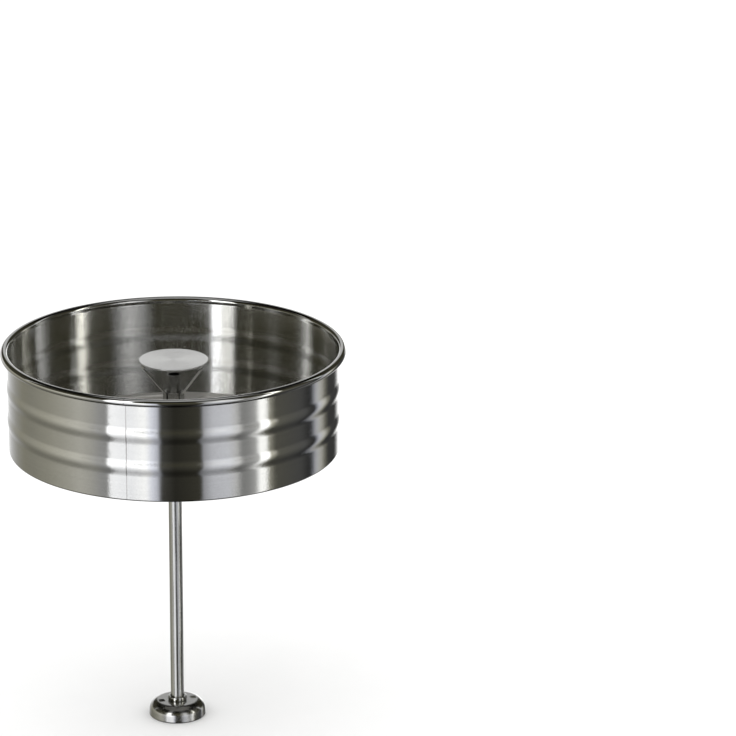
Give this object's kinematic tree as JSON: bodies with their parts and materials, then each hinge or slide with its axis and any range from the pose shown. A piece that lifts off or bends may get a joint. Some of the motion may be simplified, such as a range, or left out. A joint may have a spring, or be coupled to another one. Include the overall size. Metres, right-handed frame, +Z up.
{
  "type": "percolator strainer basket with pump stem",
  "caption": "Round steel strainer basket with a pressed sieve floor and splash disc, carried near the top of a slim pump tube on a small bell-shaped foot.",
  "frame": {"origin": "on the common axis, in the plane of the foot's underside", "axes": "+Z up along the pump tube, from the foot to the basket's rim; the splash disc's first leg lies 37 degrees from +X towards -Y"},
  "size_m": [0.205, 0.205, 0.235],
  "materials": {
    "wall_steel": "bright brushed stainless steel, grain running round the wall",
    "sieve_steel": "satin stainless steel, finely perforated",
    "disc_steel": "spun-brushed stainless steel",
    "strip_steel": "bright rolled stainless strip",
    "tube_steel": "drawn stainless tube with fine lengthwise marks",
    "foot_steel": "polished pressed stainless steel",
    "washer_steel": "satin stainless steel"
  },
  "bodies": {
    "pump": {"pump_tube": "tube_steel", "pump_foot": "foot_steel", "foot_ferrule": "foot_steel", "basket_stop": "tube_steel"},
    "valve": {"valve_washer": "washer_steel"},
    "basket": {"basket_wall": "wall_steel", "sieve_plate": "sieve_steel", "centre_sleeve": "tube_steel", "splash_disc": "disc_steel", "disc_leg_1": "strip_steel", "disc_leg_2": "strip_steel", "disc_leg_3": "strip_steel"}
  },
  "joints": [
    {"name": "basket_lift", "type": "slide", "parent": "pump", "child": "basket", "axis": [0, 0, 1], "range_m": [0, 0.06]},
    {"name": "valve_lift", "type": "slide", "parent": "pump", "child": "valve", "axis": [0, 0, 1], "range_m": [0, 0.003]}
  ]
}
